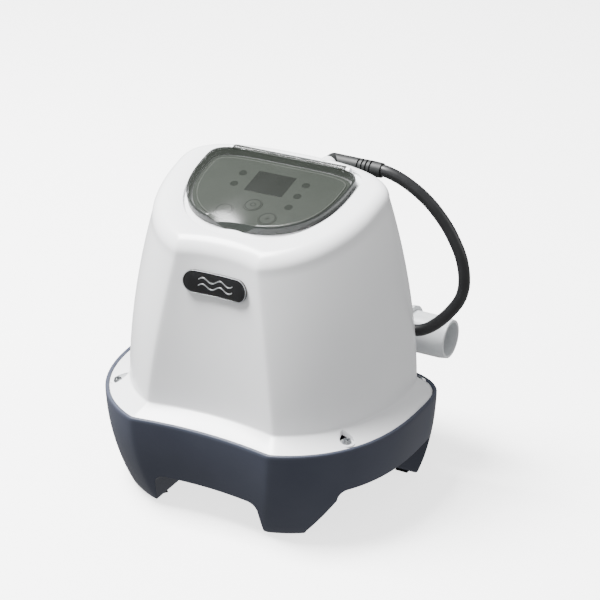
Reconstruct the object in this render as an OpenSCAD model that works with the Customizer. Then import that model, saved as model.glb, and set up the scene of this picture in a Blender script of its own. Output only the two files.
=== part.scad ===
// Salt chlorine generator for a pool: a control unit on a four-legged base, with the
// flow cell, its two hose unions and its lead behind.
// Front is -Y, the hoses leave along X, and the ground is z = 0.

/* [Base] */
// Width of the base at its rim
base_w = 247; // [244:1:250]
// Height of the rim above the ground
rim_z = 76; // [74:1:78]
// Rim to front of the base, before its front is hollowed
base_front = 126; // [125:0.5:127.5]
// Rim to back of the base
base_back = 56; // [55:0.5:57]
// Wall of the base
base_wall = 2.8; // [2.4:0.1:3]
// Height of the skirt's lower edge in front and behind
skirt_z = 28; // [25:1:31]
// Height of the skirt's lower edge at the sides
side_skirt_z = 41; // [39:1:41]
// Thickness of the rubber feet
foot_pad_t = 1; // [1:0.5:2]

/* [Housing] */
// Half width of the housing at its foot
foot_w = 107.7; // [106:0.1:109]
// Depth of the housing in front of its widest line, at its foot
foot_front = 114.5; // [113:0.1:116]
// Depth of the housing behind its widest line, at its foot
foot_back = 41.7; // [41:0.1:42.5]
// Height of the deck plane over the origin
deck_z = 232.8; // [230:0.1:235]
// Tilt of the deck towards the front
deck_tilt = 16; // [15:0.5:17]
// Round over from the sides to the deck
shoulder_r = 10.4; // [9:0.1:11]
// Wall of the housing
housing_wall = 3; // [2.5:0.1:3.5]

/* [Panel and lid] */
// Half width of the lid
lid_w = 61.5; // [61:0.1:62]
// Height of the lid above the deck
lid_rise = 5.2; // [5:0.1:6]
// Wall of the lid
lid_wall = 1.6; // [1.2:0.1:2]
// Radius of the lid's hinge barrel
barrel_r = 3; // [2.8:0.1:3.1]
// Radius of the hinge pins
hinge_pin_r = 1.2; // [1:0.1:1.4]
// Radius of a button
button_r = 6.8; // [6.5:0.1:6.9]
// Travel of a button
button_travel = 0.9; // [0.6:0.1:1]
// Radius of an indicator lens
led_r = 3; // [2.5:0.1:3]
// Width and depth of the display window
display_size = [31, 24];

/* [Flow cell] */
// Height of the cell's axis
cell_z = 99; // [99:0.5:101]
// Distance of the cell's axis behind the origin
cell_y = 80; // [80:0.5:81]
// Outer radius of the cell's vessel
vessel_r = 22; // [21.5:0.1:22]
// Outer radius of a union nut over its ribs
nut_r = 26; // [25.5:0.1:26]
// Radius of a hose spigot
spigot_r = 16; // [15.5:0.1:16]
// Distance from the middle to the end of a spigot
spigot_end = 112; // [110:1:114]

/* [Lead] */
// Radius of the cell's lead
lead_r = 4.5; // [4:0.1:4.6]

/* [Hidden] */
$fn = 48;
gap = 0.1;
over = 1;
deck_slope = tan(deck_tilt);

// Shared outline of base and housing: two superellipse halves, with a hollow front
ring_n = 64;
crease_soft = 0.7;
base_yc = 10;
base_exp = [2.45, 3.7];
base_crease = 57.5;
base_dip = 5.5;
body_yc = 12;
body_exp = 2.25;
foot_z = 83;
flange_z = 75;
lip_z = 70;
flange_inset = 3;
gland_x = -75;
gland_y = 57;
gland_z = 54;
gland_r = 8;
gland_l = 22;
floor_z = 41;
floor_t = 3;
skirt_wall = 4;

// Points of the deck, in the deck's own frame: x across, v up the slope, w off the deck
deck_vc = 8.3;
lid_front = 63.3;
lid_back = 21;
lid_exp = [2.45, 4.3];
recess_w = 63.2;
recess_front = 71.5;
recess_back = 26.8;
recess_exp = [2.3, 5];
recess_depth = 2.2;
deck_t = 2.4;
opening_inset = 7.5;
hinge_v = 30.4;
hinge_w = 1.4;
barrel_half = 46.6;
ear_x = 47.2;
ear_t = 3.3;
led_at = [[-26.3, 6.2], [-26.3, -7.3], [26.3, 6.2], [26.3, -7.3], [26.3, -20.8]];
button_at = [[-17.9, -37.4], [0, -26], [17.9, -37.4]];
fascia_low = -recess_depth;
board_top = -9.4;
board_t = 1.6;
switch_h = 3.6;
button_low = fascia_low - 1.6;
stem_low = board_top + switch_h + button_travel + 0.2;
board_post_at = [[-42, 17], [42, 17], [-38, -27], [38, -27]];

// Housing screws, right side, front and rear, with the way to the wall of the base
screw_at = [[97.6, -63.3], [101, 47]];
screw_out = [-37, 42];
lug_len = [7.4, 7];
screw_seat_z = 76;
boss_top_z = 69.5;

// Stations along the cell's axis
vessel_half = 54;
thread_r = vessel_r + 1;
nut_from = 44;
nut_to = 66;
seal_t = 2;
collar_t = 4;
neck_r = 17;
spigot_from = 80;
bore_r = 13;

// Lead: from the plug's tail, round the right of the housing, to the gland on the cell
socket_x = 24;
socket_z = 237;
plug_y = 53.5;
cap_x = [-10, 18];
lead_route = [
    [60, 53.5, 237], [66, 53.5, 237], [72, 54, 235.5], [79, 55, 232.5], [86, 56, 228.5], [94, 57, 223],
    [102, 58, 216], [109, 59, 208], [115.5, 60, 199], [121, 60, 190], [125.5, 60, 181],
    [128.5, 60, 171], [129.8, 60, 160.5], [129, 60, 151], [126, 60, 142.5], [121, 59, 134.5],
    [115, 58, 127], [108.5, 57, 120.5], [102, 56, 116], [95.5, 55, 113.5], [89, 55, 113],
    [82, 56, 114.5], [75, 58, 118.5], [69, 60, 123], [63, 62, 127.5], [57, 64, 131],
    [50, 65, 133], [42, 65, 133], [34, 65, 133], [27, 65, 133], [21, 65, 133]
];

function sgn_pow(v, p) = sign(v) * pow(abs(v), p);
function smooth_max(a, b, e) = (a + b + sqrt((a - b) * (a - b) + 4 * e * e)) / 2;
function lerp(a, b, u) = a + (b - a) * u;

// One point of a D outline: w half width, f and b depths before and behind the line yc
function d_point(t, w, f, b, yc, ex, cx, dip) =
    let (
        s = sin(t),
        n = s < 0 ? ex[0] : ex[1],
        x = w * sgn_pow(cos(t), 2 / n),
        side = yc + (s < 0 ? f : b) * sgn_pow(s, 2 / n),
        crease_y = yc - f * pow(1 - pow(cx / w, ex[0]), 1 / ex[0]),
        hollow = crease_y + dip * (1 - pow(x / cx, 2))
    )
    [x, s < 0 ? smooth_max(side, hollow, crease_soft) : side];

// Outlines of the base: its skin draws in towards the ground
function skin_inset(z) = 0.003 * pow(rim_z - z, 2);
function base_point(t, k, i) =
    d_point(t, base_w / 2 - 0.8 * k - i, base_front - k - i, base_back - k / 2 - i, base_yc, base_exp,
        base_crease - 0.68 * k, base_dip);
function base_ring(z, i, lift = 0) =
    [for (j = [0:ring_n - 1]) let (p = base_point(j * 360 / ring_n, skin_inset(z), i))
        [p[0], p[1], z + lift]];

// Outlines of the housing at level u, from 0 at the foot to 1 under the shoulder
function body_point(t, u, i) =
    d_point(t, foot_w * (1 - 0.19 * u * u) - i, foot_front * (1 - 0.165 * pow(u, 1.25)) - i,
        foot_back * (1 - 0.185 * pow(u, 1.54)) - i, body_yc, [body_exp, lerp(4.15, 2.6, u)],
        52.6 - 19 * pow(u, 1.3), lerp(6.5, 5, u));
function shoulder_z(y) = deck_z + deck_slope * y - shoulder_r;
function body_ring(u, i, drop = 0) =
    [for (j = [0:ring_n - 1]) let (p = body_point(j * 360 / ring_n, u, i))
        [p[0], p[1], foot_z - drop + u * (shoulder_z(p[1]) - foot_z + drop)]];
function shoulder_ring(a) =
    [for (j = [0:ring_n - 1]) let (p = body_point(j * 360 / ring_n, 1, shoulder_r * (1 - cos(a))))
        [p[0], p[1], shoulder_z(p[1]) + shoulder_r * sin(a)]];
function under_deck_ring(i, drop) =
    [for (j = [0:ring_n - 1]) let (p = body_point(j * 360 / ring_n, 1, i))
        [p[0], p[1], deck_z + deck_slope * p[1] - drop]];

// Outlines on the deck, and the same points in the row's frame
function deck_point(t, w, f, b, ex) =
    let (s = sin(t), n = s < 0 ? ex[0] : ex[1])
    [w * sgn_pow(cos(t), 2 / n), deck_vc + (s < 0 ? f : b) * sgn_pow(s, 2 / n)];
function lid_outline(i) =
    [for (j = [0:71]) deck_point(j * 5, lid_w - i, lid_front - i, lid_back - i, lid_exp)];
function from_deck(x, v, w) =
    [x, v * cos(deck_tilt) - w * sin(deck_tilt), deck_z + v * sin(deck_tilt) + w * cos(deck_tilt)];
function recess_ring(w) =
    [for (j = [0:ring_n - 1])
        let (p = deck_point(j * 360 / ring_n, recess_w, recess_front, recess_back, recess_exp))
        from_deck(p[0], p[1], w)];
function opening_ring(w) =
    [for (j = [0:ring_n - 1])
        let (i = opening_inset,
            p = deck_point(j * 360 / ring_n, lid_w - i, lid_front - i, lid_back - i, lid_exp))
        from_deck(p[0], p[1], w)];

// Skins between rings of equal length, either closed on themselves or capped at both ends
function skin_faces(m, n, closed) =
    [for (i = [0:m - (closed ? 1 : 2)], j = [0:n - 1])
        let (a = i * n + j, b = i * n + (j + 1) % n,
            c = ((i + 1) % m) * n + (j + 1) % n, d = ((i + 1) % m) * n + j)
        each [[a, c, b], [a, d, c]]];
module ring_skin(rings) {
    polyhedron(points = [for (r = rings) each r],
        faces = skin_faces(len(rings), len(rings[0]), true), convexity = 10);
}
module capped_skin(rings) {
    m = len(rings);
    n = len(rings[0]);
    polyhedron(points = [for (r = rings) each r],
        faces = concat(skin_faces(m, n, false), [[for (j = [0:n - 1]) j]],
            [[for (j = [n - 1:-1:0]) (m - 1) * n + j]]), convexity = 6);
}

module mirror_copy() {
    children();
    mirror([1, 0, 0]) children();
}
module on_deck() {
    translate([0, 0, deck_z]) rotate([deck_tilt, 0, 0]) children();
}
module along_x(x0, x1, r, r2 = undef) {
    translate([x0, 0, 0]) rotate([0, 90, 0]) cylinder(h = x1 - x0, r1 = r, r2 = r2 == undef ? r : r2);
}
module along_y(y0, y1, r, r2 = undef) {
    translate([0, y0, 0]) rotate([-90, 0, 0]) cylinder(h = y1 - y0, r1 = r, r2 = r2 == undef ? r : r2);
}
module at_cell() {
    translate([0, cell_y, cell_z]) children();
}
module at_side(side) {
    at_cell() mirror([side < 0 ? 1 : 0, 0, 0]) children();
}
module at_screws() {
    mirror_copy() for (k = [0, 1]) translate([screw_at[k][0], screw_at[k][1], 0]) rotate(screw_out[k]) children();
}

// Gaps between the legs: half width at the ground and under the top fillet, and height
leg_gap_r = 8;
module leg_gap(w0, w1, h) {
    fillet = [for (a = [0:15:90]) [w1 - leg_gap_r * (1 - cos(a)), h - leg_gap_r * (1 - sin(a))]];
    polygon(concat([[w0, -over]], fillet, [for (k = [len(fillet) - 1:-1:0]) [-fillet[k][0], fillet[k][1]]],
        [[-w0, -over]]));
}
front_leg = [[40, -130], [130, -130], [130, -63], [40, -63]];
rear_leg = [[84, 30], [130, 30], [130, 80], [84, 80]];
splay = 37;
module base_tray() {
    color("#3d4250") difference() {
        union() {
            difference() {
                capped_skin([for (z = [foot_pad_t, 8, 16, 24, 34, 45, 56, 66, rim_z]) base_ring(z, 0)]);
                capped_skin(concat([for (z = [floor_z + floor_t, 56, 66]) base_ring(z, base_wall)],
                    [base_ring(rim_z, base_wall, over)]));
                underside();
            }
            at_lugs();
        }
        // Front, rear and side gaps, then the splayed one beside each front leg
        translate([0, -60, 0]) rotate([90, 0, 0]) linear_extrude(60) leg_gap(45.8, 44, skirt_z);
        translate([0, 90, 0]) rotate([90, 0, 0]) linear_extrude(60) leg_gap(87, 84, skirt_z);
        mirror_copy() {
            translate([80, -12, 0]) rotate([90, 0, 90]) linear_extrude(60) leg_gap(47, 45, side_skirt_z);
            rotate([90, 0, splay]) translate([60, 0, 60]) linear_extrude(80) leg_gap(49.5, 28, side_skirt_z);
        }
        at_screws() translate([0, 0, 58]) cylinder(h = 20, r = 1.6);
        translate([gland_x, 0, gland_z]) along_y(40, 80, gland_r + gap);
    }
}
module underside() {
    difference() {
        capped_skin([for (z = [0, 12, 24, 33, floor_z]) base_ring(z, skirt_wall)]);
        mirror_copy() translate([0, 0, -over]) linear_extrude(floor_z + 2 * over) {
            polygon(front_leg);
            polygon(rear_leg);
        }
    }
}
module at_lugs() {
    mirror_copy() for (k = [0, 1]) translate([screw_at[k][0], screw_at[k][1], 58]) rotate(screw_out[k]) {
        cylinder(h = boss_top_z - 58, r = 4.2);
        translate([0, -3, 0]) cube([lug_len[k], 6, boss_top_z - 58]);
    }
}

module rubber_feet() {
    color("#2a2c30") mirror_copy() {
        translate([56.5, -76, 0]) rotate(33) linear_extrude(foot_pad_t) square([17, 9], center = true);
        translate([94, 38.3, 0]) linear_extrude(foot_pad_t) square([10, 5], center = true);
    }
}

module upper_housing() {
    color("#eceef0") difference() {
        union() {
            ring_skin(concat(
                [for (u = [0, 0.1, 0.22, 0.36, 0.5, 0.64, 0.78, 0.9, 1]) body_ring(u, 0)],
                [for (a = [25, 50, 72, 90]) shoulder_ring(a)],
                [recess_ring(0), recess_ring(-recess_depth), opening_ring(-recess_depth),
                    opening_ring(-recess_depth - deck_t)],
                [under_deck_ring(shoulder_r + housing_wall, 5), under_deck_ring(housing_wall, 15)],
                [for (u = [0.8, 0.55, 0.3, 0]) body_ring(u, housing_wall, u < 1 ? housing_wall : 0)],
                [base_ring(rim_z, 5.6, -4), base_ring(rim_z, 5.6, lip_z - rim_z),
                    base_ring(rim_z, flange_inset, lip_z - rim_z),
                    base_ring(rim_z, flange_inset, flange_z - rim_z)]
            ));
            at_screws() translate([0, 0, boss_top_z]) cylinder(h = screw_seat_z - boss_top_z, r = 5.8);
            on_deck() mirror_copy() hinge_ear();
            translate([socket_x, 0, socket_z]) along_y(36, 45.8, 6.8);
        }
        at_screws() screw_recess();
        on_deck() translate([0, hinge_v, hinge_w]) along_x(-60, 60, hinge_pin_r);
        translate([socket_x, 0, socket_z]) along_y(36.5, 50, 5.4);
    }
}
module hinge_ear() {
    translate([0, hinge_v, hinge_w]) along_x(ear_x, ear_x + ear_t, 2.4);
    translate([ear_x, hinge_v - 2.4, -recess_depth - over]) cube([ear_t, 4.8, recess_depth + over + hinge_w]);
}
module screw_recess() {
    translate([0, 0, screw_seat_z]) linear_extrude(12) {
        circle(r = 5.2);
        polygon([[0, 5.2], [0, -5.2], [-6.5, -2.2], [-8.4, 0], [-6.5, 2.2]]);
    }
    translate([0, 0, boss_top_z - over]) cylinder(h = 10, r = 2.2);
}

module housing_screws() {
    color("#8d9094") at_screws() translate([0, 0, screw_seat_z]) {
        difference() {
            cylinder(h = 2.6, r1 = 3.6, r2 = 2.7);
            translate([-2.2, -0.5, 1.4]) cube([4.4, 1, 2]);
            translate([-0.5, -2.2, 1.4]) cube([1, 4.4, 2]);
        }
        translate([0, 0, -16]) cylinder(h = 16, r = 1.5);
    }
}

// Stadium plate, bent to the hollow of the housing's front and leaning back with it
badge_l = 52;
badge_h = 17;
badge_t = 2;
badge_lean = 7.7;
badge_bend_r = 135;
badge_at = [0, -76.3, 183];
module badge_plate() {
    color("#1d1f22") translate(badge_at) rotate([90 - badge_lean, 0, 0]) intersection() {
        translate([0, 0, -over]) linear_extrude(8) {
            square([badge_l - badge_h, badge_h], center = true);
            for (s = [-1, 1]) translate([s * (badge_l - badge_h) / 2, 0]) circle(d = badge_h);
        }
        translate([0, 0, badge_bend_r]) difference() {
            along_y(-20, 20, badge_bend_r - 0.3);
            along_y(-21, 21, badge_bend_r - 0.3 - badge_t);
        }
    }
}

module panel_fascia() {
    color("#6d756d") on_deck() difference() {
        union() {
            translate([0, 0, fascia_low]) linear_extrude(recess_depth - 0.8) polygon(lid_outline(3.8));
            translate([0, 0, fascia_low]) linear_extrude(recess_depth) polygon(lid_outline(6.5));
            for (p = board_post_at) translate([p[0], p[1], board_top])
                cylinder(h = fascia_low - board_top + gap, r = 3);
        }
        for (p = button_at) translate([p[0], p[1], fascia_low - over]) cylinder(h = 5, r = button_r + 0.3);
        for (p = led_at) translate([p[0], p[1], fascia_low - over]) cylinder(h = 5, r = led_r + 0.05);
        cube([display_size[0] + gap, display_size[1] + gap, 8], center = true);
        for (p = board_post_at) translate([p[0], p[1], board_top - over]) cylinder(h = 6, r = 1.1);
    }
}

module display_window() {
    color("#575659") on_deck() translate([0, 0, -0.9])
        linear_extrude(1.1) square(display_size, center = true);
}

module led_lens(k) {
    color("#4a4f4c") on_deck() translate([led_at[k][0], led_at[k][1], fascia_low]) {
        cylinder(h = recess_depth + 0.2, r = led_r);
        translate([0, 0, -1]) cylinder(h = 1, r = led_r + 0.8);
    }
}

module push_button(k) {
    color("#70786f") on_deck() translate([button_at[k][0], button_at[k][1], 0]) {
        translate([0, 0, button_low]) cylinder(h = 0.3 - button_low, r = button_r);
        translate([0, 0, button_low]) cylinder(h = 1.3, r = button_r + 0.9);
        translate([0, 0, stem_low]) cylinder(h = button_low - stem_low + gap, r = 1.5);
    }
}

module display_module() {
    color("#33363a") on_deck() translate([0, 0, board_top])
        linear_extrude(-board_top - 1) square([display_size[0] - 1, display_size[1] - 1], center = true);
}

module control_board() {
    color("#2f6b45") on_deck() difference() {
        translate([0, -7, board_top - board_t / 2]) cube([94, 62, board_t], center = true);
        for (p = board_post_at) translate([p[0], p[1], board_top - 4]) cylinder(h = 6, r = 1.6);
    }
}

module tact_switches() {
    color("#26282b") on_deck() for (p = button_at) translate([p[0], p[1], board_top]) {
        linear_extrude(3) square(6, center = true);
        cylinder(h = switch_h, r = 1.6);
    }
}

module board_screws() {
    color("#b5b8bb") on_deck() for (p = board_post_at) translate([p[0], p[1], board_top - board_t]) {
        translate([0, 0, -1.6]) cylinder(h = 1.6, r = 2.6);
        cylinder(h = 6, r = 1.05);
    }
}

module panel_lid() {
    low = 0.3 - recess_depth;
    color("#7c857c", 0.6) on_deck() difference() {
        union() {
            difference() {
                translate([0, 0, low]) linear_extrude(lid_rise - low) polygon(lid_outline(0));
                translate([0, 0, low - over]) linear_extrude(lid_rise - low - lid_wall + over)
                    polygon(lid_outline(lid_wall));
                thumb_scoop(low, scoop_r);
            }
            translate([0, hinge_v, hinge_w]) along_x(-barrel_half, barrel_half, barrel_r);
            thumb_wall(low);
        }
        translate([0, hinge_v, hinge_w]) along_x(-barrel_half - over, barrel_half + over, hinge_pin_r + 0.07);
    }
}
// Thumb scoop: the front wall leans back along a wide tilted cylinder
scoop_r = 40;
scoop_tilt = 42;
module thumb_scoop(low, r) {
    translate([0, deck_vc - lid_front - scoop_r / cos(scoop_tilt), low]) rotate([-scoop_tilt, 0, 0])
        cylinder(h = 120, r = r, center = true, $fn = 96);
}
module thumb_wall(low) {
    intersection() {
        translate([0, 0, low]) linear_extrude(lid_rise - low) polygon(lid_outline(0));
        difference() {
            thumb_scoop(low, scoop_r + lid_wall);
            thumb_scoop(low, scoop_r);
        }
    }
}

module hinge_pins() {
    color("#9a9da1") on_deck() mirror_copy() translate([0, hinge_v, hinge_w])
        along_x(barrel_half - 9, ear_x + ear_t, hinge_pin_r);
}

// Power supply, on the floor of the base
supply_z = floor_z + floor_t;
module transformer_core() {
    color("#6f7276") translate([0, -34, supply_z]) difference() {
        translate([-33, -17, 0]) cube([66, 34, 54]);
        for (s = [-1, 1]) translate([s * 16.5 - 6, -20, 12]) cube([12, 40, 30]);
        for (s = [-1, 1], z = [6, 48]) translate([s * 28, 0, z]) along_y(-20, 20, 2);
    }
}
module transformer_winding() {
    color("#a05a2c") translate([0, -34, supply_z + 12.3]) difference() {
        translate([-22, -27, 0]) cube([44, 54, 29.4]);
        translate([-10.7, -17.2, -over]) cube([21.4, 34.4, 32]);
    }
}
module power_board() {
    color("#2f6b45") translate([0, 14, supply_z]) {
        translate([-50, -14, 8]) cube([100, 38, 1.6]);
        for (s = [-1, 1], y = [-9, 19]) translate([s * 44, y, 0]) cylinder(h = 8, r = 3);
    }
}
module heat_sink() {
    color("#a9adb1") translate([0, 14, supply_z + 9.6]) {
        translate([-40, 14, 0]) cube([46, 3, 34]);
        for (x = [-40:6.1:2]) translate([x, 2, 0]) cube([2, 12, 34]);
    }
}
module mains_gland() {
    color("#2a2c30") translate([gland_x, 0, gland_z]) difference() {
        union() {
            along_y(gland_y, 63.6, gland_r);
            along_y(63.6, 67, 10);
            along_y(67, gland_y + gland_l, 7.6, 5.6);
        }
        along_y(gland_y - over, gland_y + gland_l + over, 4.2);
    }
}

module lead_socket() {
    color("#2a2c2e") translate([socket_x, 0, socket_z]) difference() {
        union() {
            along_y(37.5, 46.2, 5.3);
            along_y(46.1, 46.8, 6.3);
        }
        along_y(38.5, 48, 4);
    }
}
module lead_plug() {
    color("#3a3c3b") {
        translate([socket_x, 0, socket_z]) {
            along_y(39.5, 47.8, 3.9);
            along_y(47.2, plug_y, 6.3);
            translate([0, plug_y, 0]) sphere(r = 6.3);
        }
        translate([0, plug_y, socket_z]) {
            along_x(socket_x, 45, 6.3, 6);
            along_x(45, 58, 5);
            for (x = [46.2:3.4:55]) along_x(x, x + 2.2, 6);
            difference() {
                along_x(56.4, 64, 6, 5.6);
                along_x(60, 65, lead_r);
            }
        }
    }
}

// Tube swept along points: each ring is square to the chord through its neighbours
lead_sides = 10;
function unit(v) = v / norm(v);
function heading(p, k) = unit(p[min(k + 1, len(p) - 1)] - p[max(k - 1, 0)]);
function tube_ring(p, k, r) =
    let (d = heading(p, k), a = unit(cross(d, [0, 1, 0])), b = cross(d, a))
    [for (j = [0:lead_sides - 1]) p[k] + r * (cos(j * 360 / lead_sides) * a + sin(j * 360 / lead_sides) * b)];
module cell_lead() {
    color("#222426") capped_skin([for (k = [len(lead_route) - 1:-1:0]) tube_ring(lead_route, k, lead_r)]);
}
module lead_gland() {
    color("#3a3c3b") translate([0, lead_route[len(lead_route) - 1][1], lead_route[len(lead_route) - 1][2]])
        difference() {
            union() {
                along_x(cap_x[1], 33, 6.5, 5.4);
                along_x(cap_x[1], 21, 7.5);
            }
            along_x(lead_route[len(lead_route) - 1][0], 34, lead_r);
        }
}
module terminal_cap() {
    color("#2e3236") difference() {
        translate([cap_x[0], 56, 112]) cube([cap_x[1] - cap_x[0], 28, 29]);
        at_cell() along_x(-60, 60, vessel_r);
    }
}

module cell_vessel() {
    color("#c9cdd0") at_cell() difference() {
        union() {
            along_x(-vessel_half, vessel_half, vessel_r);
            mirror_copy() along_x(nut_from + 2, vessel_half, thread_r);
        }
        along_x(-vessel_half - over, vessel_half + over, vessel_r - 3);
        translate([-26, 0, 0]) cylinder(h = 40, r = 6 + gap);
    }
}
module electrode_plates() {
    color("#8c9094") at_cell() for (k = [-2:2]) translate([-4, -15, k * 4 - 0.5])
        cube([42, 30, 1]);
}
module electrode_carrier() {
    color("#3f4448") at_cell() for (x = [-7, 38]) difference() {
        along_x(x, x + 3, vessel_r - 3 - gap);
        for (s = [-1, 1]) translate([x - over, -20, s > 0 ? 10 : -26]) cube([6, 40, 16]);
    }
}
module flow_sensor() {
    color("#2e3236") at_cell() translate([-26, 0, 0]) difference() {
        union() {
            translate([0, 0, 13]) cylinder(h = 12, r = 6);
            translate([0, 0, vessel_r + 0.5]) cylinder(h = 12, r = 9);
            translate([0, 0, vessel_r + 12.5]) cylinder(h = 4, r1 = 7, r2 = 5);
        }
        translate([-8, -1.7, 12]) cube([16, 3.4, 6.5]);
        translate([0, 0, 15]) along_y(-7, 7, 0.8);
    }
}
module flow_paddle() {
    color("#d9dcde") at_cell() translate([-26, 0, 15]) difference() {
        union() {
            along_y(-1.4, 1.4, 2);
            translate([-0.6, -1.4, -21]) cube([1.2, 2.8, 21]);
            translate([-0.6, -6, -27]) cube([1.2, 12, 12]);
        }
        along_y(-7, 7, 0.86);
    }
}
module paddle_pin() {
    color("#b5b8bb") at_cell() translate([-26, 0, 15]) along_y(-5.6, 5.6, 0.8);
}

// Bracket on the housing's back wall, and the two straps that hold the vessel in it
clamp_x = 40;
clamp_half = 3.5;
clamp_y = 72;
strap_t = 2.4;
tab_z = 125.8;
tab_low = 121.6;
tab_top = 128;
module cell_bracket() {
    color("#3d4250") difference() {
        union() {
            translate([-clamp_x, 54.2, 86]) cube([2 * clamp_x, 3.2, 26]);
            for (s = [-1, 1]) translate([s * clamp_x - clamp_half, 54.2, 84.5])
                cube([2 * clamp_half, clamp_y - 54.2, tab_top - 84.5]);
        }
        at_cell() along_x(-60, 60, vessel_r + 0.05);
        for (s = [-1, 1]) translate([s * clamp_x, 0, tab_z]) along_y(62, 80, 1.3);
    }
}
module clamp_straps() {
    color("#4a4f55") for (s = [-1, 1]) difference() {
        union() {
            at_cell() along_x(s * clamp_x - clamp_half, s * clamp_x + clamp_half, vessel_r + strap_t);
            translate([s * clamp_x - clamp_half, clamp_y + gap, tab_low])
                cube([2 * clamp_half, 5, tab_top - tab_low]);
        }
        at_cell() along_x(-60, 60, vessel_r + 0.05);
        translate([-60, 30, 60]) cube([120, clamp_y + gap - 30, 80]);
        translate([s * clamp_x, 0, tab_z]) along_y(62, 80, 1.6);
    }
}
module clamp_screws() {
    color("#8d9094") for (s = [-1, 1]) translate([s * clamp_x, 0, tab_z]) {
        along_y(62.5, clamp_y + 5.2, 1.3);
        along_y(clamp_y + 5.1, clamp_y + 7.3, 2.2);
    }
}

// Rings and tubes of one union, drawn for the right side
module union_nut(side) {
    color("#30343a") at_side(side) difference() {
        union() {
            along_x(nut_from, nut_to, nut_r - 1.4);
            for (a = [15:30:345]) rotate([a, 0, 0]) translate([nut_from + 1, -2, nut_r - 2.4])
                cube([nut_to - nut_from - 3, 4, 2.32]);
        }
        along_x(nut_from - over, vessel_half + seal_t + collar_t + 0.3, thread_r + 0.2);
        along_x(vessel_half, nut_to + over, neck_r + 0.4);
    }
}
module union_seal(side) {
    color("#26282a") at_side(side) difference() {
        along_x(vessel_half, vessel_half + seal_t, vessel_r);
        along_x(vessel_half - over, vessel_half + seal_t + over, vessel_r - 3);
    }
}
module hose_adaptor(side) {
    collar_x = vessel_half + seal_t;
    color("#d4d8da") at_side(side) difference() {
        union() {
            along_x(collar_x, collar_x + collar_t, vessel_r);
            along_x(collar_x, spigot_from, neck_r);
            along_x(spigot_from - 3, spigot_from, 19.5);
            along_x(spigot_from, spigot_end - 6, spigot_r);
            along_x(spigot_end - 6, spigot_end, spigot_r, spigot_r - 1);
        }
        along_x(collar_x - over, spigot_end + over, bore_r);
    }
}

base_tray();
rubber_feet();
upper_housing();
housing_screws();
badge_plate();
panel_fascia();
display_window();
led_lens(0);  // led_lens_1
led_lens(1);  // led_lens_2
led_lens(2);  // led_lens_3
led_lens(3);  // led_lens_4
led_lens(4);  // led_lens_5
push_button(0);  // button_left
push_button(1);  // button_centre
push_button(2);  // button_right
display_module();
control_board();
tact_switches();
board_screws();
panel_lid();
hinge_pins();
transformer_core();
transformer_winding();
power_board();
heat_sink();
mains_gland();
lead_socket();
lead_plug();
cell_lead();
lead_gland();
terminal_cap();
cell_vessel();
electrode_plates();
electrode_carrier();
flow_sensor();
flow_paddle();
paddle_pin();
cell_bracket();
clamp_straps();
clamp_screws();
union_nut(-1);  // union_nut_left
union_nut(1);  // union_nut_right
union_seal(-1);  // seal_left
union_seal(1);  // seal_right
hose_adaptor(-1);  // hose_adaptor_left
hose_adaptor(1);  // hose_adaptor_right
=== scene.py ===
import math
import bmesh
import bpy
from mathutils import Matrix, Vector


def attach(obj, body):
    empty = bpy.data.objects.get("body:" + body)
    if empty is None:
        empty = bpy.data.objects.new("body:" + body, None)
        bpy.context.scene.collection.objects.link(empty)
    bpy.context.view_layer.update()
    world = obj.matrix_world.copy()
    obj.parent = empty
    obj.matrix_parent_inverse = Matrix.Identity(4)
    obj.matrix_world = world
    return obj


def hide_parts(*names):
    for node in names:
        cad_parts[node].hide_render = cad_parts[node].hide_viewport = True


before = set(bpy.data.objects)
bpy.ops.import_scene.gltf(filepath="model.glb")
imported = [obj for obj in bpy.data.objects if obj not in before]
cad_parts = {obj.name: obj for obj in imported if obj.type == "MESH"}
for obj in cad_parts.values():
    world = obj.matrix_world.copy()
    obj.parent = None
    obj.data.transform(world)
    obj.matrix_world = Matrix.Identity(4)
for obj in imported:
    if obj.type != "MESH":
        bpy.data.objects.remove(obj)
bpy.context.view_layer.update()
MM = 0.001

# ---------------------------------------------------------------------------------------------
# Camera: stands to the right of the unit's front, a little above it, and looks at its middle.
azimuth, elevation, camera_distance = math.radians(28.84), math.radians(25.4), 1.4
camera_data = bpy.data.cameras.new("camera")
camera_data.lens = 113.6
camera_data.sensor_width = 36
camera = bpy.data.objects.new("camera", camera_data)
towards_camera = Vector((math.sin(azimuth) * math.cos(elevation),
                         -math.cos(azimuth) * math.cos(elevation), math.sin(elevation)))
camera.location = Vector((0.02464, 0, 0.1454)) + camera_distance * towards_camera
camera.rotation_euler = towards_camera.to_track_quat("Z", "Y").to_euler()
bpy.context.scene.collection.objects.link(camera)
bpy.context.scene.camera = camera


# ---------------------------------------------------------------------------------------------
# Cell lead: a round mains-grade lead, extruded in black PVC. It leaves the plug behind the
# panel, bows out past the right side and ends in the moulded gland on the cell's terminal cap.
def linear(colour):
    """An sRGB hex colour as linear red, green, blue and full alpha."""
    parts = [int(colour[k:k + 2], 16) / 255 for k in (1, 3, 5)]
    return [c / 12.92 if c <= 0.04045 else ((c + 0.055) / 1.055) ** 2.4 for c in parts] + [1]


def add_node(tree, kind, settings=None, links=None):
    """Adds one shader node, sets its properties and sockets, and links its inputs."""
    made = tree.nodes.new("ShaderNode" + kind)
    for name, value in (settings or {}).items():
        if hasattr(made, str(name)):
            setattr(made, name, value)
        else:
            made.inputs[name].default_value = value
    for name, source in (links or {}).items():
        tree.links.new(source, made.inputs[name])
    return made


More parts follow.
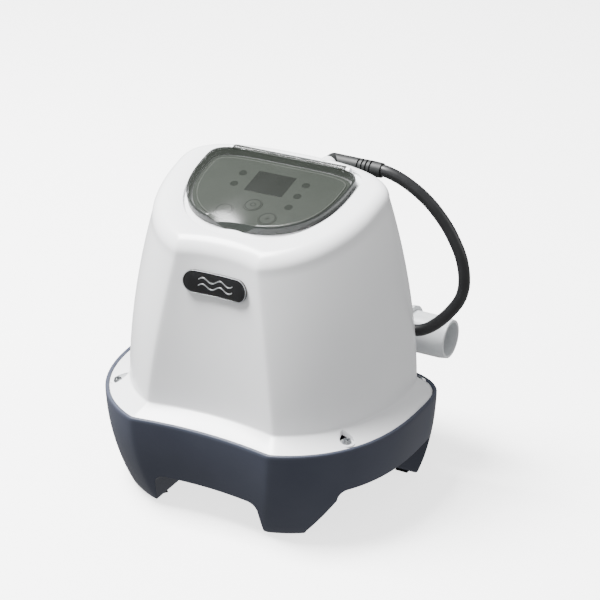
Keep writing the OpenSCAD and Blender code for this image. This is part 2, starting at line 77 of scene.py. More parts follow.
def finish(name, shades, patch, roughness, grain, relief, corner=0.35, stretch=(1, 1, 1), **sockets):
    """A surface whose colour wanders between two shades over patches of that size, and whose
    skin has a grain and a relief, in mm. corner is the radius its tool leaves on sharp edges."""
    material = bpy.data.materials.new(name)
    material.use_nodes = True
    tree = material.node_tree
    tree.nodes.clear()
    place = add_node(tree, "TexCoord").outputs["Object"]
    drawn = add_node(tree, "Mapping", {"Scale": stretch}, {"Vector": place}).outputs["Vector"]
    patches = add_node(tree, "TexNoise", {"Scale": 1 / (patch * MM), "Detail": 3}, {"Vector": drawn})
    tint = add_node(tree, "ValToRGB", None, {"Fac": patches.outputs["Fac"]})
    for stop, at, shade in zip(tint.color_ramp.elements, (0.3, 0.7), shades):
        stop.position = at
        stop.color = linear(shade)
    grains = add_node(tree, "TexNoise", {"Scale": 1 / (grain * MM), "Detail": 2}, {"Vector": drawn})
    polish = add_node(tree, "MapRange", {"To Min": roughness[0], "To Max": roughness[1]},
                      {"Value": patches.outputs["Fac"]})
    corners = add_node(tree, "Bevel", {"samples": 4, "Radius": corner * MM})
    bumps = add_node(tree, "Bump", {"Strength": 0.6, "Distance": relief * MM},
                     {"Height": grains.outputs["Fac"], "Normal": corners.outputs["Normal"]})
    shader = add_node(tree, "BsdfPrincipled", sockets, {
        "Base Color": tint.outputs["Color"], "Roughness": polish.outputs["Result"],
        "Normal": bumps.outputs["Normal"]})
    add_node(tree, "OutputMaterial", None, {"Surface": shader.outputs["BSDF"]})
    return material


# Extruded PVC: satin, near black, with faint draw marks along it.
extruded_pvc = finish("extruded black PVC", ("#111214", "#1a1b1d"), 9, (0.36, 0.48), 0.5, 0.03,
                      **{"IOR": 1.52})
lead_radius = 4.5
lead_route = [
    (60, 53.5, 237), (66, 53.5, 237), (72, 54, 235.5), (79, 55, 232.5), (86, 56, 228.5),
    (94, 57, 223), (102, 58, 216), (109, 59, 208), (115.5, 60, 199), (121, 60, 190),
    (125.5, 60, 181), (128.5, 60, 171), (129.8, 60, 160.5), (129, 60, 151), (126, 60, 142.5),
    (121, 59, 134.5), (115, 58, 127), (108.5, 57, 120.5), (102, 56, 116), (95.5, 55, 113.5),
    (89, 55, 113), (82, 56, 114.5), (75, 58, 118.5), (69, 60, 123), (63, 62, 127.5),
    (57, 64, 131), (50, 65, 133), (42, 65, 133), (34, 65, 133), (27, 65, 133), (21, 65, 133)]
lead_line = bpy.data.curves.new("cell_lead_jacket", "CURVE")
lead_line.dimensions = "3D"
lead_line.bevel_depth = lead_radius * MM
lead_line.bevel_resolution = 6
lead_line.resolution_u = 4
lead_spline = lead_line.splines.new("BEZIER")
lead_spline.bezier_points.add(len(lead_route) - 1)
for knot, point in zip(lead_spline.bezier_points, lead_route):
    knot.co = Vector(point) * MM
    knot.handle_left_type = knot.handle_right_type = "AUTO"
lead_line.materials.append(extruded_pvc)
lead = bpy.data.objects.new("cell_lead_jacket", lead_line)
bpy.context.scene.collection.objects.link(lead)
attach(lead, "unit")
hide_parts("cell_lead")

# Lead plug and lead gland: soft PVC moulded over the lead's ends. The plug is an elbow with
# three grip rings and an end collar, and the gland is a short taper against the terminal cap.
overmoulded_pvc = finish("overmoulded soft PVC", ("#141616", "#1d1f1f"), 6, (0.45, 0.6), 0.6, 0.05,
                         corner=0.6, **{"IOR": 1.52, "Specular IOR Level": 0.35})


def paint_cad(material, *nodes):
    """Gives CAD nodes this finish."""
    for name in nodes:
        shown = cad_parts[name]
        shown.data.materials.clear()
        shown.data.materials.append(material)


paint_cad(overmoulded_pvc, "lead_plug", "lead_gland")

# ---------------------------------------------------------------------------------------------
# Base tray: one moulding of slate-blue polypropylene. A tray that draws in towards the ground,
# with a hollow front between two creases, cut away below so that it stands on four legs.
base_width, rim_z, base_front, base_back = 247, 76, 126, 56
base_middle, base_powers, base_crease, base_dip = 10, (2.45, 3.7), 57.5, 5.5
base_wall, skirt_wall, floor_under_z, floor_z, pad_t = 2.8, 4, 41, 44, 1
SIDE_COLUMNS, HOLLOW_COLUMNS = 170, 54


def outline(half_width, front, back, middle, powers, crease, dip):
    """Points of a D: two superellipse halves about the line y = middle, with the front between
    its two creases dished in by dip. Columns crowd at the creases, so those stay crisp."""
    reach = front * (1 - (crease / half_width) ** powers[0]) ** (1 / powers[0])
    edge = math.atan2(-reach, crease)

    def crowd(f):
        return 0.3 * f + 0.7 * f * f * (3 - 2 * f)

    turns = [edge + (math.pi - 2 * edge) * crowd(k / SIDE_COLUMNS) for k in range(SIDE_COLUMNS)]
    turns += [math.pi - edge + (math.pi + 2 * edge) * crowd(k / HOLLOW_COLUMNS)
              for k in range(HOLLOW_COLUMNS)]
    points = []
    for turn in turns:
        c, s = math.cos(turn), math.sin(turn)
        power, depth = (powers[0], front) if s < 0 else (powers[1], back)
        r = (abs(c / half_width) ** power + abs(s / depth) ** power) ** (-1 / power)
        x, y = r * c, middle + r * s
        if s < 0:
            dished = middle - reach + dip * (1 - (x / crease) ** 2)
            y = (y + dished + math.sqrt((y - dished) ** 2 + 4 * 0.7 ** 2)) / 2
        points.append((x, y))
    return points


def base_ring(z, inset, height=None):
    """The base's outline at a height of its skin, drawn in by inset."""
    k = 0.003 * (rim_z - z) ** 2
    return [(x, y, z if height is None else height) for x, y in outline(
        base_width / 2 - 0.8 * k - inset, base_front - k - inset, base_back - k / 2 - inset,
        base_middle, base_powers, base_crease - 0.68 * k, base_dip)]


def solid(rings, capped=True):
    """A closed mesh through rings of equal length, as a new object: capped at both ends, or
    with its last ring joined to its first."""
    count = len(rings[0])
    shape = bmesh.new()
    loops = [[shape.verts.new(Vector(p) * MM) for p in ring] for ring in rings]
    for low, high in zip(loops, loops[1:] if capped else loops[1:] + loops[:1]):
        for j in range(count):
            k = (j + 1) % count
            shape.faces.new((low[j], low[k], high[k], high[j]))
    if capped:
        shape.faces.new(loops[0][::-1])
        shape.faces.new(loops[-1])
    bmesh.ops.recalc_face_normals(shape, faces=shape.faces)
    mesh = bpy.data.meshes.new("solid")
    shape.to_mesh(mesh)
    shape.free()
    made = bpy.data.objects.new("solid", mesh)
    bpy.context.scene.collection.objects.link(made)
    return made


def carve(piece, operation, *tools):
    """Cuts the tools from the piece, or adds them to it, and throws the tools away."""
    for tool in tools:
        change = piece.modifiers.new("carve", "BOOLEAN")
        change.operation = operation
        change.solver = "EXACT"
        change.object = tool
    bpy.context.view_layer.update()
    done = piece.evaluated_get(bpy.context.evaluated_depsgraph_get())
    mesh = bpy.data.meshes.new_from_object(done)
    piece.modifiers.clear()
    piece.data = mesh
    for tool in tools:
        bpy.data.objects.remove(tool)
    return piece


def turned(profile, place, sides=48):
    """A solid of revolution: profile is (radius, along) pairs, about the place's own Z axis."""
    angles = [2 * math.pi * k / sides for k in range(sides)]
    return solid([[place @ Vector((r * math.cos(a), r * math.sin(a), along)) for a in angles]
                  for r, along in profile])


def at(x, y, z, along="Z"):
    """A place in mm whose own Z axis points along X, Y or Z."""
    facing = {"X": Matrix.Rotation(math.pi / 2, 4, "Y"), "Y": Matrix.Rotation(-math.pi / 2, 4, "X"),
              "Z": Matrix.Identity(4)}[along]
    return Matrix.Translation((x, y, z)) @ facing


def prism(shape, near, far, place):
    """A straight solid between two depths behind an upright outline of (across, up) points."""
    return solid([[place @ Vector((u, -depth, up)) for u, up in shape] for depth in (near, far)])


def complete(piece, name, material, body, slot, *nodes, crisp=32):
    """Names a piece, smooths it except at edges sharper than crisp degrees, and mounts it."""
    piece.name = piece.data.name = name
    piece.data.materials.clear()
    piece.data.materials.append(material)
    piece.data.shade_smooth()
    piece.data.set_sharp_from_angle(angle=math.radians(crisp))
    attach(piece, body)
    if nodes:
        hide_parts(*nodes)
    return piece


def leg_gap(foot_half, top_half, height):
    """The gap between two legs: the legs' feet are rounded and the gap's top corners filleted."""
    fillet, toe = 8, 4
    right = [(foot_half + toe, -1), (foot_half + toe, pad_t)]
    right += [(foot_half + toe - toe * math.sin(a), pad_t + toe - toe * math.cos(a))
              for a in (math.radians(15 * k) for k in range(1, 7))]
    right += [(top_half - fillet * (1 - math.cos(a)), height - fillet * (1 - math.sin(a)))
              for a in (math.radians(15 * k) for k in range(7))]
    return right + [(-u, up) for u, up in reversed(right)]


tray_rings = [base_ring(pad_t, 2.6), base_ring(1.6, 1.4), base_ring(2.8, 0.5), base_ring(4.6, 0)]
tray_rings += [base_ring(z, 0) for z in (10, 16, 22, 28, 34, 40, 46, 52, 58, 64, 70, 73, 74.8)]
tray_rings += [base_ring(rim_z, 0.4, 75.6), base_ring(rim_z, 1.1, rim_z), base_ring(rim_z, 2.1, rim_z)]
tray_rings += [base_ring(z, base_wall) for z in (75.4, 66, 56, floor_z)]
tray = solid(tray_rings)
hollow = solid([base_ring(z, skirt_wall) for z in (0, 6, 12, 18, 24, 30, 36, floor_under_z)])
leg_gap_height, side_gap_height, splay_angle, gland_hole_r = 28, 41, 37, 8.1
leg_blocks = []
for side in (-1, 1):
    for x0, x1, y0, y1 in ((40, 130, -130, -63), (84, 130, 30, 80)):
        block = [(side * x0, y0), (side * x1, y0), (side * x1, y1), (side * x0, y1)]
        leg_blocks.append(solid([[(x, y, z) for x, y in block] for z in (-1, floor_under_z + 1)]))
carve(hollow, "DIFFERENCE", *leg_blocks)
gaps = [prism(leg_gap(45.8, 44, leg_gap_height), 60, 120, Matrix.Identity(4)),
        prism(leg_gap(87, 84, leg_gap_height), -90, -30, Matrix.Identity(4))]
for side in (-1, 1):
    across = Matrix.Translation((0, -12, 0)) @ Matrix.Rotation(math.pi / 2, 4, "Z")
    gaps.append(prism(leg_gap(47, 45, side_gap_height), side * 80, side * 140, across))
    splay = Matrix.Rotation(math.radians(side * splay_angle), 4, "Z")
    splay = splay @ Matrix.Translation((side * 60, 0, 0))
    gaps.append(prism(leg_gap(49.5, 28, side_gap_height), 60, 140, splay))
gaps.append(turned([(gland_hole_r, 40), (gland_hole_r, 80)], at(-75, 0, 54, "Y")))
carve(tray, "DIFFERENCE", hollow, *gaps)
# Polypropylene from a spark-eroded tool: satin, with a fine grain drawn at about 1 mm to show.
moulded_polypropylene = finish("moulded slate polypropylene", ("#383c49", "#404451"), 60,
                               (0.4, 0.5), 0.9, 0.03, corner=0.9,
                               **{"IOR": 1.49, "Specular IOR Level": 0.3})
complete(tray, "base_shell", moulded_polypropylene, "unit", "base_tray", "base_tray")

# Lugs inside the tray take the four housing screws.
lug_low, lug_top, lug_r, pilot_r = 58, 69.5, 4.2, 1.6
screw_places = [(side * x, y, math.radians(side * a) + (math.pi if side < 0 else 0))
                for side in (-1, 1) for x, y, a in ((97.6, -63.3, -37), (101, 47, 42))]
for count, (x, y, a) in enumerate(screw_places, 1):
    lug = turned([(pilot_r, lug_low), (lug_r, lug_low), (lug_r, lug_top - 0.4),
                  (lug_r - 0.4, lug_top), (pilot_r, lug_top)], at(x, y, 0), 32)
    complete(lug, f"screw_lug_{count}", moulded_polypropylene, "unit", "base_tray")

# Rubber feet: four moulded pads glued under the legs.
moulded_rubber = finish("moulded foot rubber", ("#202123", "#2c2d30"), 5, (0.7, 0.85), 0.5, 0.08,
                        **{"IOR": 1.52})
paint_cad(moulded_rubber, "rubber_feet")

# ---------------------------------------------------------------------------------------------
# Upper housing: one gloss-white ABS moulding. It draws in to a sloping deck with rounded
# shoulders, has a flange that sits in the tray's rim, a recess for the lid and four screw seats.
deck_z, deck_tilt, deck_middle = 232.8, math.radians(16), 8.3
shoulder_r, housing_wall, foot_z = 10.4, 3, 83
flange_z, lip_z, flange_inset = 75, 70, 3
recess_depth, deck_t = 2.2, 2.4
lid_size, lid_powers = (61.5, 63.3, 21), (2.45, 4.3)
recess_size, recess_powers = (63.2, 71.5, 26.8), (2.3, 5)


def from_deck(x, v, w):
    """A point in mm from the deck's own frame: across, up its slope and off its face."""
    return (x, v * math.cos(deck_tilt) - w * math.sin(deck_tilt),
            deck_z + v * math.sin(deck_tilt) + w * math.cos(deck_tilt))


def body_outline(u, inset):
    """The housing's outline at a level, from 0 at its foot to 1 under its shoulder."""
    return outline(107.7 * (1 - 0.19 * u * u) - inset, 114.5 * (1 - 0.165 * u ** 1.25) - inset,
                   41.7 * (1 - 0.185 * u ** 1.54) - inset, 12, (2.25, 4.15 - 1.55 * u),
                   52.6 - 19 * u ** 1.3, 6.5 - 1.5 * u)


def body_ring(u, inset, drop=0):
    """The same outline, raised so that the top level runs parallel to the deck."""
    top = [deck_z + math.tan(deck_tilt) * y - shoulder_r for x, y in body_outline(u, inset)]
    low = foot_z - drop
    return [(x, y, low + u * (t - low)) for (x, y), t in zip(body_outline(u, inset), top)]


def shoulder_ring(turn):
    """The shoulder, a quarter round from the wall to the deck."""
    return [(x, y, z + shoulder_r * math.sin(turn))
            for x, y, z in body_ring(1, shoulder_r * (1 - math.cos(turn)))]


def deck_ring(size, powers, grow, w, bearings):
    """A D on the deck, grown by grow, with a point in each of the bearings from its middle."""
    points = []
    for bearing in bearings:
        c, s = math.cos(bearing), math.sin(bearing)
        power, depth = (powers[0], size[1]) if s < 0 else (powers[1], size[2])
        r = (abs(c / (size[0] + grow)) ** power + abs(s / (depth + grow)) ** power) ** (-1 / power)
        points.append(from_deck(r * c, deck_middle + r * s, w))
    return points


def under_deck(inset, drop):
    """The outline inside the housing's roof."""
    return [(x, y, deck_z + math.tan(deck_tilt) * y - drop) for x, y in body_outline(1, inset)]


shoulder_end = shoulder_ring(math.pi / 2)
bearings = [math.atan2(y / math.cos(deck_tilt) - deck_middle, x) for x, y, _ in shoulder_end]
flange_edge, foot = base_ring(rim_z, flange_inset + 0.9, flange_z), body_ring(0, 0)
slope_mid = [Vector(f).lerp(Vector(e), 0.08) for f, e in zip(foot, flange_edge)]
wall_start = body_ring(0.012, 0)
housing_rings = [base_ring(rim_z, flange_inset, lip_z), base_ring(rim_z, flange_inset, 74.3),
                 base_ring(rim_z, flange_inset + 0.25, 74.8), flange_edge]
for f in (0, 0.2, 0.4, 0.6, 0.8):
    housing_rings.append([(1 - f) ** 2 * a + 2 * f * (1 - f) * Vector(b) + f * f * Vector(c)
                          for a, b, c in zip(slope_mid, foot, wall_start)])
housing_rings += [body_ring(0.012 + 0.988 * k / 26, 0) for k in range(27)]
housing_rings += [shoulder_ring(math.radians(9 * k)) for k in range(1, 11)]
housing_rings += [deck_ring(recess_size, recess_powers, grow, w, bearings)
                  for grow, w in ((0.7, 0), (0.2, -0.2), (0, -0.7), (0, 0.3 - recess_depth),
                                  (-0.3, -recess_depth))]
housing_rings += [deck_ring(lid_size, lid_powers, -7.5, w, bearings)
                  for w in (-recess_depth, -recess_depth - deck_t)]
housing_rings += [under_deck(shoulder_r + housing_wall, 5), under_deck(housing_wall, 15)]
housing_rings += [body_ring(u, housing_wall, housing_wall if u < 1 else 0) for u in (0.8, 0.55, 0.3, 0)]
housing_rings += [base_ring(rim_z, 5.6, rim_z - 4), base_ring(rim_z, 5.6, lip_z)]
housing = solid(housing_rings, capped=False)

hinge_v, hinge_w, barrel_half, ear_x, ear_t = 30.4, 1.4, 46.6, 47.2, 3.3
on_deck = Matrix.Translation((0, 0, deck_z)) @ Matrix.Rotation(deck_tilt, 4, "X")
screw_seat_z, screw_boss_r, screw_hole_r = 76, 5.8, 2.2
additions = [turned([(screw_boss_r, lug_top), (screw_boss_r, screw_seat_z)], at(x, y, 0))
             for x, y, _ in screw_places]
socket_line, socket_hole_r = at(24, 0, 237, "Y"), 5.4
additions.append(turned([(6.8, 36), (6.8, 45.2), (6.2, 45.8)], socket_line))
for side in (-1, 1):
    # Each ear is an upright lug with a round head.
    head = [(math.cos(a) * 2.4, math.sin(a) * 2.4) for a in (math.radians(15 * k) for k in range(13))]
    ear = [(2.4, -recess_depth - 1 - hinge_w)] + head + [(-2.4, -recess_depth - 1 - hinge_w)]
    additions.append(solid([[on_deck @ Vector((side * x, hinge_v + v, hinge_w + w)) for v, w in ear]
                            for x in (ear_x, ear_x + ear_t)]))
carve(housing, "UNION", *additions)
cuts = []
seat_r, seat_point = 5.2, -8.4
for x, y, a in screw_places:
    # A teardrop seat, whose point runs up towards the wall, with the screw's hole in its floor.
    drop = [(seat_r * math.cos(b), seat_r * math.sin(b))
            for b in (math.radians(7.5 * k) for k in range(-15, 16))]
    drop += [(-6.5, 2.2), (seat_point, 0), (-6.5, -2.2)]
    turn = Matrix.Translation((x, y, 0)) @ Matrix.Rotation(a, 4, "Z")
    cuts.append(solid([[turn @ Vector((p, q, z)) for p, q in drop] for z in (screw_seat_z, 90)]))
    cuts.append(turned([(screw_hole_r, 66), (screw_hole_r, 80)], at(x, y, 0), 24))
cuts.append(turned([(socket_hole_r, 36.5), (socket_hole_r, 50)], socket_line))
carve(housing, "DIFFERENCE", *cuts)
# ABS from a polished tool: glossy white, faintly cool, with the slight waviness of the melt.
polished_abs = finish("polished white ABS", ("#eeeff1", "#f3f4f5"), 80, (0.2, 0.28), 7, 0.02,
                      corner=0.7, **{"IOR": 1.53})
complete(housing, "housing_shell", polished_abs, "unit", "upper_housing", "upper_housing", crisp=38)

# Housing screws: plated steel pan heads with a cross slot, in their teardrop seats.
plated_steel = finish("bright plated steel", ("#a9acaf", "#c3c6c9"), 2, (0.16, 0.3), 0.4, 0.02,
                      corner=0.25, **{"Metallic": 1})
paint_cad(plated_steel, "housing_screws", "board_screws", "hinge_pins", "paddle_pin", "clamp_screws")

# ---------------------------------------------------------------------------------------------
# Badge: a black enamelled plate with a bright border, bent to the hollow front and glued on.
# It carries a plain ripple mark.
badge_length, badge_height, badge_lean, badge_bend = 52, 17, math.radians(7.7), 135
badge_t = 1.72
badge_place = Matrix.Translation((0, -76.3, 183)) @ Matrix.Rotation(math.pi / 2 - badge_lean, 4, "X")


def on_badge(x, y, raised):
    """A point in mm on the bent plate, raised over the back of it."""
    r = badge_bend - 0.3 - raised
    return badge_place @ Vector((x, y, badge_bend - math.sqrt(r * r - x * x)))


def stadium(inset):
    """The badge's outline, drawn in by inset."""
    r, reach = badge_height / 2 - inset, (badge_length - badge_height) / 2
    ends = [(reach + r * math.cos(a), r * math.sin(a))
            for a in (math.radians(7.5 * k) for k in range(-12, 13))]
    top = [(reach * (1 - k / 6), r) for k in range(1, 12)]
    return ends + top + [(-x, -y) for x, y in ends] + [(-x, -y) for x, y in top]


black_enamel = finish("black enamel on the badge", ("#0b0b0c", "#111214"), 8, (0.2, 0.3), 0.8, 0.01,
                      corner=0.2, **{"IOR": 1.5})
bright_trim = finish("bright trim on the badge", ("#b9bcbf", "#d0d2d4"), 3, (0.25, 0.35), 0.4, 0.01,
                     corner=0.15, **{"Metallic": 0.85})
reach, end_r = (badge_length - badge_height) / 2, badge_height / 2
stations = [(-reach - end_r * math.cos(a), end_r * math.sin(a))
            for a in (math.radians(2 + 8 * k) for k in range(12))]
stations += [(reach * k / 8, end_r) for k in range(-7, 8)]
stations += [(-x, half) for x, half in reversed(stations[:12])]
plate = solid([[on_badge(x, y * half, raised) for y, raised in
                ((-1, 0), (-1, 1.5), (-0.96, badge_t), (0.96, badge_t), (1, 1.5), (1, 0))]
               for x, half in stations])
complete(plate, "badge_face", black_enamel, "unit", "badge_plate", "badge_plate", crisp=60)
border_rings = [(0.02, 1.2), (0.02, 1.85), (0.5, 1.95), (0.5, 1.5)]
border = solid([[on_badge(x, y, raised) for x, y in stadium(inset)] for inset, raised in border_rings],
               capped=False)
complete(border, "badge_border", bright_trim, "unit", "badge_plate")
for count, height in enumerate((2.3, -2.3), 1):
    centre = [(x, height + 1.5 * math.sin(x * math.pi / 7)) for x in range(-14, 15)]
    ripple = solid([[on_badge(x, y - 0.55, 1.6), on_badge(x, y - 0.4, 1.9), on_badge(x, y + 0.4, 1.9),
                     on_badge(x, y + 0.55, 1.6)] for x, y in centre])
    complete(ripple, f"badge_ripple_{count}", bright_trim, "unit", "badge_plate")

# ---------------------------------------------------------------------------------------------
# Control panel: an ABS fascia under a printed grey-green film, a tinted display window and five
# indicator lenses. The print on the film is a pale line round the panel.
printed_film = finish("printed grey-green film", ("#585e57", "#5e645d"), 25, (0.4, 0.5), 0.6, 0.02,
                      **{"IOR": 1.5})
tinted_acrylic = finish("dark tinted acrylic", ("#29282b", "#2e2d30"), 15, (0.12, 0.2), 1, 0.005,
                        **{"IOR": 1.49})
lens_acrylic = finish("dark lens acrylic", ("#2e322f", "#353a36"), 3, (0.15, 0.25), 1, 0.01,
                      **{"IOR": 1.49})
pale_ink = finish("pale printed ink", ("#8d938b", "#979d95"), 4, (0.5, 0.6), 0.4, 0.01)
dark_ink = finish("dark printed ink", ("#0f1110", "#151716"), 4, (0.5, 0.6), 0.4, 0.01)
paint_cad(printed_film, "panel_fascia")
paint_cad(tinted_acrylic, "display_window")
paint_cad(lens_acrylic, *[f"led_lens_{count}" for count in range(1, 6)])
all_round = [2 * math.pi * k / 160 for k in range(160)]
panel_line = solid([deck_ring(lid_size, lid_powers, grow, w, all_round)
                    for grow, w in ((-6.7, -0.05), (-6.7, 0.06), (-7.4, 0.06), (-7.4, -0.05))],
                   capped=False)
complete(panel_line, "panel_line", pale_ink, "unit", "panel_fascia")

# Buttons: three round keys moulded in ABS under the same film. Each has a printed circle and
# a plain symbol: a minus, a ring and a plus.
button_top = 0.3
button_places = {"left": (-17.9, -37.4), "centre": (0, -26), "right": (17.9, -37.4)}
paint_cad(printed_film, *[f"button_{name}" for name in button_places])


def printed_ring(x, v, r, width):
    """A thin flat ring of ink on the deck's frame."""
    turns = [2 * math.pi * k / 48 for k in range(48)]
    return solid([[from_deck(x + q * math.cos(a), v + q * math.sin(a), w) for a in turns]
                  for q, w in ((r, button_top - 0.05), (r, button_top + 0.06),
                               (r - width, button_top + 0.06), (r - width, button_top - 0.05))],
                 capped=False)


def printed_bar(x, v, across, up):
    """A thin flat bar of ink on the deck's frame."""
    corners = [(-across / 2, -up / 2), (across / 2, -up / 2), (across / 2, up / 2), (-across / 2, up / 2)]
    return solid([[from_deck(x + p, v + q, w) for p, q in corners]
                  for w in (button_top - 0.05, button_top + 0.06)])


for name, (x, v) in button_places.items():
    marks = [printed_ring(x, v, 6.3, 0.8)]
    if name == "centre":
        marks.append(printed_ring(x, v, 2.2, 0.7))
    else:
        marks.append(printed_bar(x, v, 4.2, 0.7))
    if name == "right":
        marks.append(printed_bar(x, v, 0.7, 4.2))
    for count, mark in enumerate(marks, 1):
        complete(mark, f"button_{name}_print_{count}", dark_ink, f"button_{name}", "button")

# Behind the fascia: the display module, and the board with its three key switches.
black_abs = finish("moulded black ABS", ("#26282b", "#303236"), 12, (0.45, 0.6), 0.6, 0.03,
                   **{"IOR": 1.53})
solder_mask = finish("green solder mask", ("#1d5a35", "#28704a"), 2.5, (0.3, 0.45), 1.2, 0.04,
                     **{"IOR": 1.5})
paint_cad(black_abs, "display_module", "tact_switches")
paint_cad(solder_mask, "control_board", "power_board")

# ---------------------------------------------------------------------------------------------
# Panel lid: smoky polycarbonate, moulded clear and thin, with a rounded top edge and a hinge barrel
# behind. A thumb scoop cuts its front wall, and a shallow dish behind the scoop's lip dips to it.
lid_rise, lid_wall, lid_low, lid_edge = 5.2, 1.6, -1.9, 1.8
scoop_r, dish_r, pin_hole_r = 40, 60, 1.27


def lid_rings(inset, top, edge, low):
    """Levels of a lid-shaped solid with a rounded top edge."""
    levels = [(0, low), (0, top - edge)]
    levels += [(edge * (1 - math.cos(a)), top - edge * (1 - math.sin(a)))
               for a in (math.radians(15 * k) for k in range(1, 7))]
    return [deck_ring(lid_size, lid_powers, -inset - drawn_in, w, all_round) for drawn_in, w in levels]


def thumb_scoop(r):
    """A wide cylinder that leans back across the lid's front wall."""
    lean = math.radians(42)
    v = deck_middle - lid_size[1] + 1 - scoop_r / math.cos(lean)
    place = on_deck @ Matrix.Translation((0, v, lid_low)) @ Matrix.Rotation(-lean, 4, "X")
    return turned([(r, -60), (r, 60)], place, 240)


def thumb_dish(r):
    """A shallow cylinder that dips to the front and dishes the lid's top behind the scoop."""
    dip = math.radians(14)
    middle = Vector((-3, -37, lid_rise)) + dish_r * Vector((0, -math.sin(dip), math.cos(dip)))
    place = on_deck @ Matrix.Translation(middle) @ Matrix.Rotation(math.pi / 2 + dip, 4, "X")
    return turned([(r, -50), (r, 60)], place, 240)


lid = solid(lid_rings(0, lid_rise, lid_edge, lid_low))
hinge_line = on_deck @ at(0, hinge_v, hinge_w, "X")
barrel = turned([(2.6, -barrel_half), (3, 0.4 - barrel_half), (3, barrel_half - 0.4), (2.6, barrel_half)],
                hinge_line)
carve(lid, "UNION", barrel)
lid_inside = solid(lid_rings(lid_wall, lid_rise - lid_wall, 0.6, lid_low - 1))
carve(lid_inside, "DIFFERENCE", thumb_scoop(scoop_r + lid_wall), thumb_dish(dish_r + lid_wall))
pin_hole = turned([(pin_hole_r, -60), (pin_hole_r, 60)], hinge_line, 24)
carve(lid, "DIFFERENCE", lid_inside, thumb_scoop(scoop_r), thumb_dish(dish_r), pin_hole)


def smoky(name, shades, cover, roughness):
    """Clear moulded plastic with a tint: it covers what lies behind by that share a surface."""
    made = finish(name, shades, 40, roughness, 5, 0.01, corner=0.5,
                  **{"IOR": 1.58, "Alpha": cover, "Specular IOR Level": 0.4})
    made.surface_render_method = "BLENDED"
    return made


# Smoky polycarbonate: glossy, see-through across its thin top and close to opaque where the
# light passes along the depth of its side walls.
smoky_top = smoky("smoky polycarbonate top", ("#20241f", "#252924"), 0.4, (0.16, 0.22))
smoky_wall = smoky("smoky polycarbonate walls", ("#222623", "#272b28"), 0.93, (0.3, 0.4))
complete(lid, "lid_shell", smoky_top, "lid", "panel_lid", "panel_lid")
lid.data.materials.append(smoky_wall)
off_deck, top_facing = on_deck.to_3x3() @ Vector((0, 0, 1)), 0.85
for face in lid.data.polygons:
    face.material_index = 0 if abs(face.normal @ off_deck) > top_facing else 1

# ---------------------------------------------------------------------------------------------
# Power supply, out of sight on the tray's floor: a laminated transformer with its windings, and
# a board with a finned aluminium heat sink.
laminated_steel = finish("varnished steel laminations", ("#5d6064", "#74787c"), 0.7, (0.4, 0.55),
                         0.7, 0.08, stretch=(1, 1, 0.05), **{"Metallic": 0.9})
enamelled_copper = finish("enamelled copper wire", ("#8e4a22", "#b36a38"), 0.8, (0.25, 0.4), 0.8,
                          0.1, stretch=(0.05, 0.05, 1), **{"Metallic": 0.8})
extruded_aluminium = finish("extruded aluminium", ("#a5a9ad", "#b5b9bd"), 1.2, (0.3, 0.42), 0.5,
                            0.03, stretch=(1, 1, 0.04), **{"Metallic": 1})
paint_cad(laminated_steel, "transformer_core")
paint_cad(enamelled_copper, "transformer_winding")
paint_cad(extruded_aluminium, "heat_sink")

# Mains gland and lead socket: black nylon, screwed into the tray and clipped in the housing.
black_nylon = finish("black nylon", ("#222426", "#2c2e31"), 6, (0.45, 0.6), 0.5, 0.04,
                     corner=0.5, **{"IOR": 1.53})
paint_cad(black_nylon, "mains_gland", "lead_socket")

# ---------------------------------------------------------------------------------------------
# Flow cell: a PVC vessel with coated titanium plates in two carriers, a terminal cap for the
# lead, and a flow sensor whose paddle swings in the water.
grey_pvc = finish("moulded light grey PVC", ("#c4c8cb", "#cdd1d4"), 30, (0.3, 0.4), 0.8, 0.02,
                  corner=0.6, **{"IOR": 1.53})
coated_titanium = finish("coated titanium", ("#6f7377", "#8b8f93"), 4, (0.4, 0.5), 0.6, 0.05,
                         **{"Metallic": 0.9})
white_acetal = finish("moulded white acetal", ("#d8dbdd", "#dfe2e4"), 5, (0.35, 0.45), 0.5, 0.02,
                      **{"IOR": 1.48})
dark_abs = finish("moulded dark grey ABS", ("#2e3136", "#393d43"), 14, (0.42, 0.55), 0.7, 0.03,
                  corner=0.6, **{"IOR": 1.53})
grey_nylon = finish("moulded dark grey nylon", ("#42474d", "#4e545b"), 8, (0.45, 0.58), 0.6, 0.03,
                    corner=0.5, **{"IOR": 1.53})
sealing_rubber = finish("black sealing rubber", ("#1d1e20", "#292a2c"), 4, (0.6, 0.75), 0.4, 0.04)
paint_cad(grey_pvc, "cell_vessel")
paint_cad(coated_titanium, "electrode_plates")
paint_cad(white_acetal, "flow_paddle")
paint_cad(dark_abs, "terminal_cap", "flow_sensor", "electrode_carrier")
paint_cad(moulded_polypropylene, "cell_bracket")
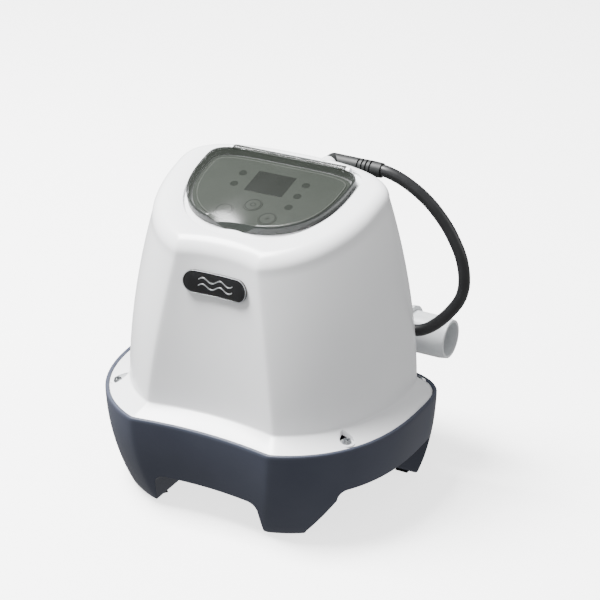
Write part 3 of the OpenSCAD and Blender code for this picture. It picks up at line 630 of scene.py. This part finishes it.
paint_cad(grey_nylon, "clamp_straps")

# Unions: ribbed nuts pull the pale hose adaptors against flat rubber seals.
pale_pvc = finish("moulded pale PVC", ("#dcdfe1", "#e4e7e9"), 30, (0.28, 0.38), 0.9, 0.02,
                  corner=0.8, **{"IOR": 1.53})
paint_cad(dark_abs, "union_nut_left", "union_nut_right")
paint_cad(sealing_rubber, "seal_left", "seal_right")
paint_cad(pale_pvc, "hose_adaptor_left", "hose_adaptor_right")

# ---------------------------------------------------------------------------------------------
# Studio: a white seamless floor lit from below, a broad key light high on the left, a weak rim
# light behind on the right and a weaker fill in front. The floor throws no light on the unit.
studio_floor = finish("matt white studio floor", ("#f6f6f6", "#f9f9f9"), 600, (0.85, 0.95), 3,
                      0.001, **{"Emission Color": (1, 1, 1, 1), "Emission Strength": 2.2})
floor_mesh = bpy.data.meshes.new("studio_floor")
floor_mesh.from_pydata([(-6, -6, 0), (6, -6, 0), (6, 6, 0), (-6, 6, 0)], [], [(0, 1, 2, 3)])
floor_mesh.materials.append(studio_floor)
floor = bpy.data.objects.new("studio_floor", floor_mesh)
bpy.context.scene.collection.objects.link(floor)
floor.visible_diffuse = floor.visible_glossy = False


def softbox(name, place, aim, size, watts):
    """A square soft light at a place in metres, aimed at a point."""
    lamp = bpy.data.lights.new(name, "AREA")
    lamp.size = size
    lamp.energy = watts
    stand = bpy.data.objects.new(name, lamp)
    stand.location = place
    stand.rotation_euler = (Vector(place) - Vector(aim)).to_track_quat("Z", "Y").to_euler()
    bpy.context.scene.collection.objects.link(stand)


softbox("key", (-0.8, -0.25, 2.1), (0, 0, 0.12), 1.0, 240)
softbox("rim", (1.8, 0.6, 0.8), (0, 0, 0.12), 0.8, 6)
softbox("fill", (0.2, -1.8, 0.9), (0, 0, 0.1), 1.0, 4)
world = bpy.data.worlds.new("studio")
world.use_nodes = True
world.node_tree.nodes["Background"].inputs["Color"].default_value = (1, 1, 1, 1)
world.node_tree.nodes["Background"].inputs["Strength"].default_value = 0.55
bpy.context.scene.world = world
